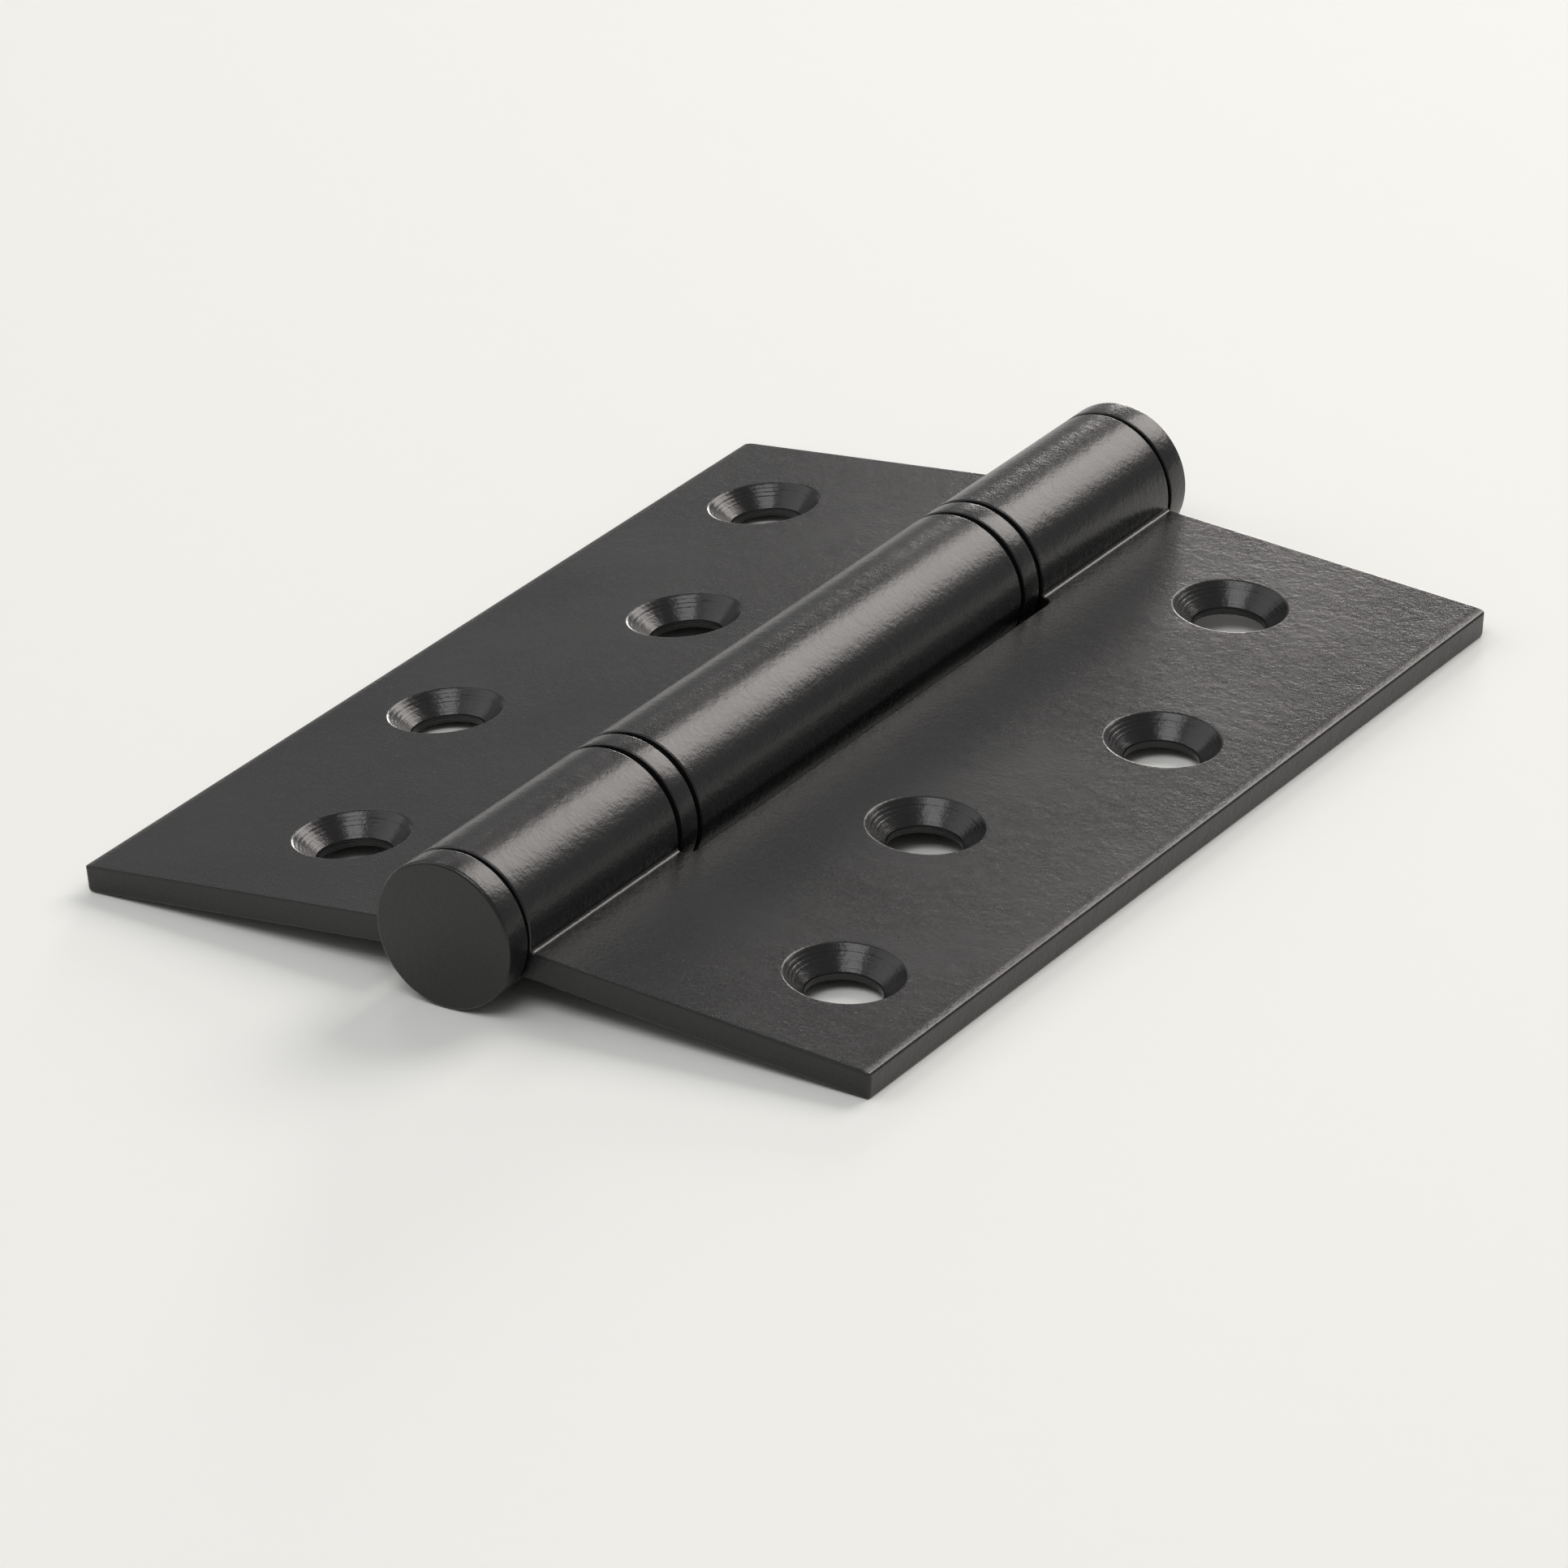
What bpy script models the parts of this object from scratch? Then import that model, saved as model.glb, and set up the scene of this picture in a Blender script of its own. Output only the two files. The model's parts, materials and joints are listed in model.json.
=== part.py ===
"""Three-knuckle butt hinge with two ball thrust bearings.

The hinge lies open on a flat surface with its countersunk faces up. It rests on its barrel and
on the outer edge of each leaf. +Z is up, the pin runs along Y, and the origin is on the surface
under the middle of the pin. Lengths are in metres.
"""

import math

import bmesh
import bpy

# Leaves
LEAF_LENGTH = 0.1000
LEAF_REACH = 0.0383
LEAF_THICKNESS = 0.0025
LEAF_DROP = 0.0007
NOTCH_CLEARANCE = 0.0010
NOTCH_FILLET = 0.0009

# Screw holes: a zigzag of four in each leaf
HOLE_COUNT = 4
HOLE_PITCH = 0.0249
HOLE_SHIFT = -0.00025
HOLE_ROW_INNER = 0.02026
HOLE_ROW_OUTER = 0.02816
HOLE_RADIUS = 0.0032
COUNTERSINK_RADIUS = 0.0050
COUNTERSINK_ANGLE = math.radians(90)

# Barrel
BARREL_RADIUS = 0.00645
CENTRE_KNUCKLE_LENGTH = 0.0502
BEARING_WIDTH = 0.0035
KNUCKLE_CHAMFER = 0.00015
PLATE_ROOT = 0.0003

# Pin, bushes and end caps
PIN_RADIUS = 0.0032
PIN_CHAMFER = 0.0003
BUSH_WALL = 0.0010
BUSH_LENGTH = 0.0120
CAP_THICKNESS = 0.0027
CAP_EDGE_RADIUS = 0.0003
CAP_GROOVE = 0.0004
CAP_GROOVE_DEPTH = 0.0009
CAP_SPIGOT_LENGTH = 0.0050

# Thrust bearings
COVER_GROOVE = 0.0006
COVER_WALL = 0.0006
COVER_CHAMFER = 0.00015
RACEWAY_DEPTH = 0.0001
RACEWAY_CONFORMITY = 1.1
RACE_LEAST = 0.0009
CAGE_THICKNESS = 0.0005
CAGE_WEB = 0.000275
BALL_COUNT = 10

# Clearances
SEAT_GAP = 0.0001
RUN_GAP = 0.0001
BALL_GAP = 0.00005
CAGE_GAP = 0.0001

# Fineness of round shapes
BARREL_STEPS = 48
BEARING_STEPS = 32
HOLE_STEPS = 32
POCKET_STEPS = 10
BALL_SEGMENTS = 10
BALL_RINGS = 6
ARC_STEPS = 3
OVERCUT = 0.001
MERGE_DISTANCE = 1e-6
SHARP_ANGLE = math.radians(30)

# Places along the pin, measured from its middle
LEAF_END = LEAF_LENGTH / 2
CENTRE_KNUCKLE_END = CENTRE_KNUCKLE_LENGTH / 2
OUTER_KNUCKLE_START = CENTRE_KNUCKLE_END + BEARING_WIDTH
BEARING_MIDDLE = CENTRE_KNUCKLE_END + BEARING_WIDTH / 2
COVER_WIDTH = BEARING_WIDTH - 2 * COVER_GROOVE
CAP_START = LEAF_END + CAP_GROOVE
CAP_END = CAP_START + CAP_THICKNESS
SPIGOT_END = CAP_START - CAP_SPIGOT_LENGTH
PIN_END = SPIGOT_END - SEAT_GAP

# Radii from the pin's axis
OUTER_BORE = PIN_RADIUS + SEAT_GAP
BUSH_BORE = PIN_RADIUS + RUN_GAP
BUSH_RADIUS = BUSH_BORE + BUSH_WALL
CENTRE_BORE = BUSH_RADIUS + SEAT_GAP
NOTCH_EDGE = BARREL_RADIUS + NOTCH_CLEARANCE
COVER_BORE = BARREL_RADIUS - COVER_WALL
RACE_RADIUS = COVER_BORE - SEAT_GAP
RACE_BORE = PIN_RADIUS + RUN_GAP
CAGE_RADIUS = RACE_RADIUS - CAGE_GAP
CAGE_BORE = RACE_BORE + CAGE_GAP
BALL_PITCH_RADIUS = (CAGE_RADIUS + CAGE_BORE) / 2

# Bearings: the largest ball that leaves a web each side in the cage and a whole race each side
# along the pin. The races fill the width left over.
BALL_ROOM_IN_CAGE = (CAGE_RADIUS - CAGE_BORE) / 2 - CAGE_WEB - BALL_GAP
BALL_ROOM_IN_RACES = BEARING_WIDTH / 2 - SEAT_GAP - RACE_LEAST + RACEWAY_DEPTH - BALL_GAP
BALL_RADIUS = min(BALL_ROOM_IN_CAGE, BALL_ROOM_IN_RACES)
POCKET_RADIUS = BALL_RADIUS + BALL_GAP
BALL_SPACE = 2 * (BALL_RADIUS + BALL_GAP - RACEWAY_DEPTH)
RACE_THICKNESS = (BEARING_WIDTH - BALL_SPACE) / 2 - SEAT_GAP

# How the open hinge lies: barrel and outer leaf edges all touch the surface
AXIS_HEIGHT = BARREL_RADIUS
LEAF_BACK = LEAF_DROP + LEAF_THICKNESS
EDGE_DISTANCE = math.hypot(LEAF_REACH, LEAF_BACK)
LEAF_DROOP = math.asin(AXIS_HEIGHT / EDGE_DISTANCE) - math.atan2(LEAF_BACK, LEAF_REACH)

COUNTERSINK_DEPTH = (COUNTERSINK_RADIUS - HOLE_RADIUS) / math.tan(COUNTERSINK_ANGLE / 2)

# Finishes: colour, roughness, metallic
COATED_BLACK = ("coated_black", (0.028, 0.028, 0.030), 0.45, 0.4)
PIN_STEEL = ("pin_steel", (0.52, 0.52, 0.54), 0.28, 1.0)
BEARING_STEEL = ("bearing_steel", (0.60, 0.60, 0.62), 0.15, 1.0)
BUSH_BRONZE = ("bush_bronze", (0.50, 0.31, 0.15), 0.40, 1.0)
CAGE_BRASS = ("cage_brass", (0.64, 0.47, 0.20), 0.30, 1.0)


def clear_scene():
    for obj in list(bpy.data.objects):
        bpy.data.objects.remove(obj, do_unlink=True)


def new_collection(name):
    collection = bpy.data.collections.new(name)
    bpy.context.scene.collection.children.link(collection)
    return collection


def material_of(finish):
    name, colour, roughness, metallic = finish
    material = bpy.data.materials.get(name)
    if material is None:
        material = bpy.data.materials.new(name)
        material.use_nodes = True
        shader = material.node_tree.nodes["Principled BSDF"]
        shader.inputs["Base Color"].default_value = (*colour, 1.0)
        shader.inputs["Roughness"].default_value = roughness
        shader.inputs["Metallic"].default_value = metallic
        material.diffuse_color = (*colour, 1.0)
    return material


def new_axis(name, station):
    """An empty on the pin's axis, which carries the pieces of one moving body."""
    axis = bpy.data.objects.new(name, None)
    axis.location = (0.0, station, AXIS_HEIGHT)
    axis.empty_display_size = BARREL_RADIUS
    parts.objects.link(axis)
    return axis


def as_cutter(obj):
    obj.hide_render = True
    obj.display_type = "WIRE"
    cutters.objects.link(obj)
    return obj


def as_part(obj, finish, parent):
    obj.data.materials.append(material_of(finish))
    obj.parent = parent
    parts.objects.link(obj)
    return obj


# Turned shapes are profiles of (radius, station) points. The station is the place along the pin,
# measured from the piece's own origin, and the outer side runs from the highest station down.


def turned(name, profile, steps, closed):
    """A profile turned round the Y axis."""
    mesh = bpy.data.meshes.new(name)
    points = [(radius, 0.0, station) for radius, station in profile]
    edges = [(i, i + 1) for i in range(len(points) - 1)]
    if closed:
        edges.append((len(points) - 1, 0))
    mesh.from_pydata(points, edges, [])
    obj = bpy.data.objects.new(name, mesh)
    obj.rotation_euler.x = -math.pi / 2
    screw = obj.modifiers.new("turn", "SCREW")
    screw.axis = "Z"
    screw.angle = math.tau
    screw.steps = steps
    screw.render_steps = steps
    screw.use_merge_vertices = True
    screw.merge_threshold = MERGE_DISTANCE
    screw.use_smooth_shade = True
    return obj


def other_end(profile):
    """The same profile for the other end of the hinge."""
    return [(radius, -station) for radius, station in reversed(profile)]


def rod_profile(radius, low, high, chamfer=0.0):
    if chamfer == 0.0:
        return [(0.0, high), (radius, high), (radius, low), (0.0, low)]
    return [
        (0.0, high),
        (radius - chamfer, high),
        (radius, high - chamfer),
        (radius, low + chamfer),
        (radius - chamfer, low),
        (0.0, low),
    ]


def ring_profile(radius, bore, low, high, chamfer=0.0):
    outer = rod_profile(radius, low, high, chamfer)[1:-1]
    return [*outer, (bore, low), (bore, high)]


def race_profile(low, high):
    """A race with its raceway in the face at its lower station."""
    groove = RACEWAY_CONFORMITY * BALL_RADIUS
    centre = low + RACEWAY_DEPTH - groove
    spread = math.acos((low - centre) / groove)
    raceway = []
    for step in range(ARC_STEPS + 1):
        angle = spread * (1 - 2 * step / ARC_STEPS)
        radius = BALL_PITCH_RADIUS + groove * math.sin(angle)
        raceway.append((radius, centre + groove * math.cos(angle)))
    return [(RACE_RADIUS, high), (RACE_RADIUS, low), *raceway, (RACE_BORE, low), (RACE_BORE, high)]


def cap_profile():
    """Flat disc with a rounded outer edge, a shoulder in the groove, and a spigot."""
    edge = []
    for step in range(ARC_STEPS + 1):
        angle = math.pi / 2 * (1 - step / ARC_STEPS)
        radius = BARREL_RADIUS - CAP_EDGE_RADIUS * (1 - math.cos(angle))
        edge.append((radius, CAP_END - CAP_EDGE_RADIUS * (1 - math.sin(angle))))
    shoulder = BARREL_RADIUS - CAP_GROOVE_DEPTH
    return [
        (0.0, CAP_END),
        *edge,
        (BARREL_RADIUS, CAP_START + KNUCKLE_CHAMFER),
        (BARREL_RADIUS - KNUCKLE_CHAMFER, CAP_START),
        (shoulder, CAP_START),
        (shoulder, LEAF_END + SEAT_GAP),
        (PIN_RADIUS, LEAF_END + SEAT_GAP),
        (PIN_RADIUS, SPIGOT_END),
        (0.0, SPIGOT_END),
    ]


# Leaves are drawn in their own plane: X runs from the pin's axis to the outer edge, Y along the
# pin, and Z out of the countersunk face.


def arc_points(centre_x, centre_y, start, end):
    points = []
    for step in range(ARC_STEPS + 1):
        angle = start + (end - start) * step / ARC_STEPS
        points.append((centre_x + NOTCH_FILLET * math.cos(angle), centre_y + NOTCH_FILLET * math.sin(angle)))
    return points


def outer_knuckle_outline():
    """Plate with one notch in the middle for the centre knuckle and its bearings."""
    root = OUTER_BORE + PLATE_ROOT
    fillet_x = NOTCH_EDGE - NOTCH_FILLET
    fillet_y = OUTER_KNUCKLE_START - NOTCH_FILLET
    return [
        (root, -LEAF_END),
        (LEAF_REACH, -LEAF_END),
        (LEAF_REACH, LEAF_END),
        (root, LEAF_END),
        (root, OUTER_KNUCKLE_START),
        *arc_points(fillet_x, fillet_y, math.pi / 2, 0.0),
        *arc_points(fillet_x, -fillet_y, 0.0, -math.pi / 2),
        (root, -OUTER_KNUCKLE_START),
    ]


def centre_knuckle_outline():
    """Plate with a notch at each end for the outer knuckles."""
    root = CENTRE_BORE + PLATE_ROOT
    fillet_x = NOTCH_EDGE - NOTCH_FILLET
    fillet_y = CENTRE_KNUCKLE_END + NOTCH_FILLET
    return [
        (NOTCH_EDGE, -LEAF_END),
        (LEAF_REACH, -LEAF_END),
        (LEAF_REACH, LEAF_END),
        (NOTCH_EDGE, LEAF_END),
        *arc_points(fillet_x, fillet_y, 0.0, -math.pi / 2),
        (root, CENTRE_KNUCKLE_END),
        (root, -CENTRE_KNUCKLE_END),
        *arc_points(fillet_x, -fillet_y, math.pi / 2, 0.0),
    ]


def flat_plate(name, outline, thickness):
    """A closed mesh of the outline, half its thickness above and half below its own plane."""
    curve = bpy.data.curves.new(name, "CURVE")
    curve.dimensions = "2D"
    curve.fill_mode = "BOTH"
    curve.extrude = thickness / 2
    spline = curve.splines.new("POLY")
    spline.points.add(len(outline) - 1)
    for point, (x, y) in zip(spline.points, outline):
        point.co = (x, y, 0.0, 1.0)
    spline.use_cyclic_u = True
    source = bpy.data.objects.new(name + "_outline", curve)
    bpy.context.scene.collection.objects.link(source)
    graph = bpy.context.evaluated_depsgraph_get()
    mesh = bpy.data.meshes.new_from_object(source.evaluated_get(graph))
    bpy.data.objects.remove(source)
    shape = bmesh.new()
    shape.from_mesh(mesh)
    bmesh.ops.remove_doubles(shape, verts=shape.verts, dist=MERGE_DISTANCE)
    bmesh.ops.recalc_face_normals(shape, faces=shape.faces)
    shape.to_mesh(mesh)
    shape.free()
    return bpy.data.objects.new(name, mesh)


def hole_centres():
    """Places of the screw holes on a leaf, as (distance from the pin, place along it)."""
    centres = []
    for index in range(HOLE_COUNT):
        row = HOLE_ROW_OUTER if index % 2 == 0 else HOLE_ROW_INNER
        along = (index - (HOLE_COUNT - 1) / 2) * HOLE_PITCH + HOLE_SHIFT
        centres.append((row, along))
    return centres


def screw_hole_cutter(name):
    """A countersunk hole about its own axis, with the leaf's face at zero."""
    slope = math.tan(COUNTERSINK_ANGLE / 2)
    profile = [
        (0.0, OVERCUT),
        (COUNTERSINK_RADIUS + OVERCUT * slope, OVERCUT),
        (HOLE_RADIUS, -COUNTERSINK_DEPTH),
        (HOLE_RADIUS, -LEAF_THICKNESS - OVERCUT),
        (0.0, -LEAF_THICKNESS - OVERCUT),
    ]
    cutter = turned(name, profile, HOLE_STEPS, closed=False)
    cutter.rotation_euler.x = 0.0
    return as_cutter(cutter)


def add_boolean(obj, operation, other):
    modifier = obj.modifiers.new(other.name, "BOOLEAN")
    modifier.operation = operation
    modifier.solver = "EXACT"
    modifier.object = other


def add_leaf(name, outline, knuckles, bore, turn, parent):
    """A plate joined to its bored knuckles, then drilled. turn is about the vertical."""
    leaf = flat_plate(name, outline, LEAF_THICKNESS)
    for vertex in leaf.data.vertices:
        vertex.co.z -= LEAF_DROP + LEAF_THICKNESS / 2
    as_part(leaf, COATED_BLACK, parent)
    leaf.rotation_euler = (0.0, LEAF_DROOP, turn)
    for index, (low, high) in enumerate(knuckles):
        profile = ring_profile(BARREL_RADIUS, bore, low, high, KNUCKLE_CHAMFER)
        knuckle = as_cutter(turned(f"{name}_knuckle_{index}", profile, BARREL_STEPS, closed=True))
        knuckle.parent = leaf
        add_boolean(leaf, "UNION", knuckle)
    for index, (out, along) in enumerate(hole_centres()):
        hole = screw_hole_cutter(f"{name}_hole_{index}")
        hole.parent = leaf
        hole.location = (out, along, -LEAF_DROP)
        add_boolean(leaf, "DIFFERENCE", hole)
    return leaf


def add_pin(parent):
    profile = rod_profile(PIN_RADIUS, -PIN_END, PIN_END, PIN_CHAMFER)
    as_part(turned("hinge_pin", profile, BARREL_STEPS, closed=False), PIN_STEEL, parent)


def add_end_cap(name, place, parent):
    as_part(turned(name, place(cap_profile()), BARREL_STEPS, closed=False), COATED_BLACK, parent)


def add_ring(name, profile, place, steps, finish, parent):
    as_part(turned(name, place(profile), steps, closed=True), finish, parent)


def add_cage(name, parent):
    """A flat ring with a round pocket for each ball, about its own origin."""
    half = CAGE_THICKNESS / 2
    profile = ring_profile(CAGE_RADIUS, CAGE_BORE, -half, half)
    cage = turned(name, profile, BEARING_STEPS, closed=True)
    as_part(cage, CAGE_BRASS, parent)
    shape = bmesh.new()
    for x, z in ball_places():
        pocket = bmesh.ops.create_cone(
            shape,
            cap_ends=True,
            segments=POCKET_STEPS,
            radius1=POCKET_RADIUS,
            radius2=POCKET_RADIUS,
            depth=CAGE_THICKNESS + OVERCUT,
        )
        bmesh.ops.translate(shape, verts=pocket["verts"], vec=(x, z, 0.0))
    mesh = bpy.data.meshes.new(name + "_pockets")
    shape.to_mesh(mesh)
    shape.free()
    pockets = as_cutter(bpy.data.objects.new(name + "_pockets", mesh))
    pockets.rotation_euler.x = math.pi / 2
    pockets.parent = parent
    add_boolean(cage, "DIFFERENCE", pockets)


def ball_places():
    """Centres of the balls round the pin's axis, as (x, z)."""
    places = []
    for index in range(BALL_COUNT):
        angle = math.tau * index / BALL_COUNT
        places.append((BALL_PITCH_RADIUS * math.cos(angle), BALL_PITCH_RADIUS * math.sin(angle)))
    return places


def ball_mesh():
    shape = bmesh.new()
    bmesh.ops.create_uvsphere(shape, u_segments=BALL_SEGMENTS, v_segments=BALL_RINGS, radius=BALL_RADIUS)
    mesh = bpy.data.meshes.new("bearing_ball")
    shape.to_mesh(mesh)
    shape.free()
    mesh.materials.append(material_of(BEARING_STEEL))
    mesh.shade_smooth()
    return mesh


def add_balls(end, mesh, parent):
    for number, (x, z) in enumerate(ball_places(), start=1):
        ball = bpy.data.objects.new(f"ball_{end}_{number:02d}", mesh)
        ball.location = (x, 0.0, z)
        ball.parent = parent
        parts.objects.link(ball)


def add_bearing(end, place, station, ball, fixed, swinging):
    """Cover and fixed race on the outer knuckle, the other race on the centre knuckle."""
    half = COVER_WIDTH / 2
    cover = ring_profile(BARREL_RADIUS, COVER_BORE, BEARING_MIDDLE - half, BEARING_MIDDLE + half, COVER_CHAMFER)
    add_ring(f"bearing_cover_{end}", cover, place, BARREL_STEPS, COATED_BLACK, fixed)
    fixed_face = OUTER_KNUCKLE_START - SEAT_GAP
    fixed_race = race_profile(fixed_face - RACE_THICKNESS, fixed_face)
    add_ring(f"fixed_race_{end}", fixed_race, place, BEARING_STEPS, BEARING_STEEL, fixed)
    swing_face = CENTRE_KNUCKLE_END + SEAT_GAP
    swing_race = other_end(race_profile(-swing_face - RACE_THICKNESS, -swing_face))
    add_ring(f"swinging_race_{end}", swing_race, place, BEARING_STEPS, BEARING_STEEL, swinging)
    cage_axis = new_axis(f"cage_axis_{end}", station)
    add_cage(f"ball_cage_{end}", cage_axis)
    add_balls(end, ball, cage_axis)


def keep_shapes():
    """Turns every part's modifiers into its mesh, shaded smooth with its real edges sharp."""
    graph = bpy.context.evaluated_depsgraph_get()
    changed = [obj for obj in parts.objects if obj.modifiers]
    meshes = [bpy.data.meshes.new_from_object(obj.evaluated_get(graph)) for obj in changed]
    for obj, mesh in zip(changed, meshes):
        obj.modifiers.clear()
        obj.data = mesh
        mesh.shade_smooth()
        mesh.set_sharp_from_angle(angle=SHARP_ANGLE)


clear_scene()
parts = new_collection("door_hinge")
cutters = new_collection("door_hinge_cutters")

fixed_axis = new_axis("fixed_leaf_axis", 0.0)
swinging_axis = new_axis("swinging_leaf_axis", 0.0)

outer_knuckles = [(-LEAF_END, -OUTER_KNUCKLE_START), (OUTER_KNUCKLE_START, LEAF_END)]
add_leaf("leaf_outer_knuckles", outer_knuckle_outline(), outer_knuckles, OUTER_BORE, 0.0, fixed_axis)
centre_knuckles = [(-CENTRE_KNUCKLE_END, CENTRE_KNUCKLE_END)]
add_leaf("leaf_centre_knuckle", centre_knuckle_outline(), centre_knuckles, CENTRE_BORE, math.pi, swinging_axis)

add_pin(fixed_axis)
shared_ball = ball_mesh()
bush = ring_profile(BUSH_RADIUS, BUSH_BORE, CENTRE_KNUCKLE_END - BUSH_LENGTH, CENTRE_KNUCKLE_END)
for end_name, end_place, end_sign in (("near", other_end, -1), ("far", list, 1)):
    add_end_cap(f"end_cap_{end_name}", end_place, fixed_axis)
    add_ring(f"bush_{end_name}", bush, end_place, BEARING_STEPS, BUSH_BRONZE, swinging_axis)
    bearing_station = end_sign * BEARING_MIDDLE
    add_bearing(end_name, end_place, bearing_station, shared_ball, fixed_axis, swinging_axis)

keep_shapes()
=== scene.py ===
"""Looks of an open butt hinge with two ball thrust bearings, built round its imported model.

The leaves, the barrel's pieces and the bearings are modelled in millimetres, either in a leaf's own
frame or in the pin's, and then put in their place in the room, which is in metres.
"""

import json
import math

import bmesh
import bpy
from bpy.props import FloatProperty, FloatVectorProperty, PointerProperty
from mathutils import Euler, Matrix, Vector


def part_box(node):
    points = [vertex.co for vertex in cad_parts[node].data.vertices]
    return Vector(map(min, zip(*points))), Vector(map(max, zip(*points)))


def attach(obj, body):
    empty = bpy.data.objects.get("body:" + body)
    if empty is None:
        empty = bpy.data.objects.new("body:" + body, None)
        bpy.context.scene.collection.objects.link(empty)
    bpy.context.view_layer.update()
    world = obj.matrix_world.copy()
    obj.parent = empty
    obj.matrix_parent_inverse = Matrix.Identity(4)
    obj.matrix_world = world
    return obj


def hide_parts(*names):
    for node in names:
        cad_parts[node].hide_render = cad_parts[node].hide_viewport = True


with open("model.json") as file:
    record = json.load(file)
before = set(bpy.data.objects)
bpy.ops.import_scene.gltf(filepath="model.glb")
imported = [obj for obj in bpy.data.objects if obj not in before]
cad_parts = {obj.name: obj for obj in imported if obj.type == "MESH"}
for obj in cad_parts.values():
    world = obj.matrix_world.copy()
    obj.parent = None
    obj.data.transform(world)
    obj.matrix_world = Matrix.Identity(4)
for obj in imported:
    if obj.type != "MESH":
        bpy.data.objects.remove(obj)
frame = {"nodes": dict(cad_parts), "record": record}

bl_info = {
    "name": "Butt Hinge",
    "version": (1, 0, 0),
    "blender": (4, 5, 0),
    "location": "3D View > Sidebar > Hinge",
    "description": "Builds a three-knuckle butt hinge with ball bearings, its finishes and its stage",
    "category": "Object",
}

MM = 0.001

# Fineness of round shapes
BARREL_STEPS = 192
HOLE_STEPS = 128
BEARING_STEPS = 128
POCKET_STEPS = 48
BALL_SEGMENTS = 48
BALL_RINGS = 24
ARC_STEPS = 8
ROLL_STEPS = 4
BEVEL_SEGMENTS = 4

# Tolerances and overlaps, in millimetres
SAME_PLACE = 0.01
MERGE_DISTANCE = 0.0005
OVERCUT = 1.0
FAR = 60.0
FLAT_ANGLE = math.radians(0.05)
CORNER_ANGLE = math.radians(25)
SMOOTH_ANGLE = math.radians(30)

# Small roundings and gaps of the turned pieces, in millimetres
COVER_CORNER = 0.15
RIM_CORNER = 0.05
SPIGOT_CORNER = 0.2
PIN_CORNER = 0.3
BUSH_CORNER = 0.1
RACEWAY_DEPTH = 0.1
POCKET_GAP = 0.05

# A raceway's radius, as a multiple of its balls'
RACEWAY_RATIO = 1.1

# A leaf's curved faces count as its knuckle up to this short of the barrel's outermost line, and a
# race's side is what lies within this of its radius, both in millimetres
KNUCKLE_INSET = 0.05
RACE_SIDE = 0.1

# A face looks along the pin where at least this share of its normal does
END_NORMAL = 0.9

# An end cap's disc is what reaches out to this share of its radius
DISC_SHARE = 0.95

# Which way each end of the hinge lies along the pin
ENDS = {"near": -1, "far": 1}

# Start of the names of each leaf's screw holes
HOLE_NAMES = {
    "leaf_outer_knuckles": "outer_knuckle_leaf_screw_hole",
    "leaf_centre_knuckle": "centre_knuckle_leaf_screw_hole",
}

# A hole's edges lie within this distance of its middle, in millimetres
HOLE_REGION = 6.0

# Size of the coat's other patterns, as multiples of its ripples
GRAIN_SIZE = 0.3
SWELL_SIZE = 3.5
CLOUD_SIZE = 30

# Share of each pattern in the coat's relief
RIPPLE_SHARE = 0.55
GRAIN_SHARE = 0.15
SWELL_SHARE = 0.6
BARREL_MARKS = 0.22
COUNTERSINK_MARKS = 1.1

# How much the coat varies in colour, and in roughness from its clouds and its grain
COLOUR_SPREAD = 0.14
CLOUD_SPREAD = 0.12
GRAIN_SPREAD = 0.1

# A countersink's roughness, as a share of the coat's
COUNTERSINK_ROUGHNESS = 0.9

# The floor's grain and relief in metres, its roughness, and how dark its grain is
FLOOR_GRAIN = 0.004
FLOOR_RELIEF = 0.00002
FLOOR_ROUGHNESS = 0.7
FLOOR_SHADE = 0.995


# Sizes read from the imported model


def pin_axis():
    low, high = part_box("hinge_pin")
    return Vector((0.0, 0.0, (low.z + high.z) / 2))


AXIS = pin_axis()


def mount_normal(name):
    return next(Vector(mount["axis"]) for mount in frame["record"]["mounts"] if mount["name"] == name)


LEAF_DROOP = math.asin(abs(mount_normal("outer_knuckle_leaf_back").x))


def pin_place():
    """From the pin's frame in millimetres, with Z along the pin, to the room."""
    return Matrix.Translation(AXIS) @ Matrix.Rotation(-math.pi / 2, 4, "X") @ Matrix.Scale(MM, 4)


def leaf_place(turn):
    """From a leaf's frame in millimetres to the room. X runs out from the pin, Y along it, and Z
    out of the drilled face. turn is about the vertical."""
    lean = Euler((0.0, LEAF_DROOP, turn)).to_matrix().to_4x4()
    return Matrix.Translation(AXIS) @ lean @ Matrix.Scale(MM, 4)


class TurnedSizes:
    """Radii and places along the pin of a turned piece, in millimetres."""

    def __init__(self, node):
        to_pin = pin_place().inverted()
        spots = [to_pin @ vertex.co for vertex in frame["nodes"][node].data.vertices]
        self.points = [(spot.xy.length, spot.z) for spot in spots]
        self.bore = min(radius for radius, _ in self.points)
        self.radius = max(radius for radius, _ in self.points)
        self.low = min(station for _, station in self.points)
        self.high = max(station for _, station in self.points)

    def radii_at(self, station):
        return sorted(radius for radius, place in self.points if abs(place - station) < SAME_PLACE)


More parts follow.
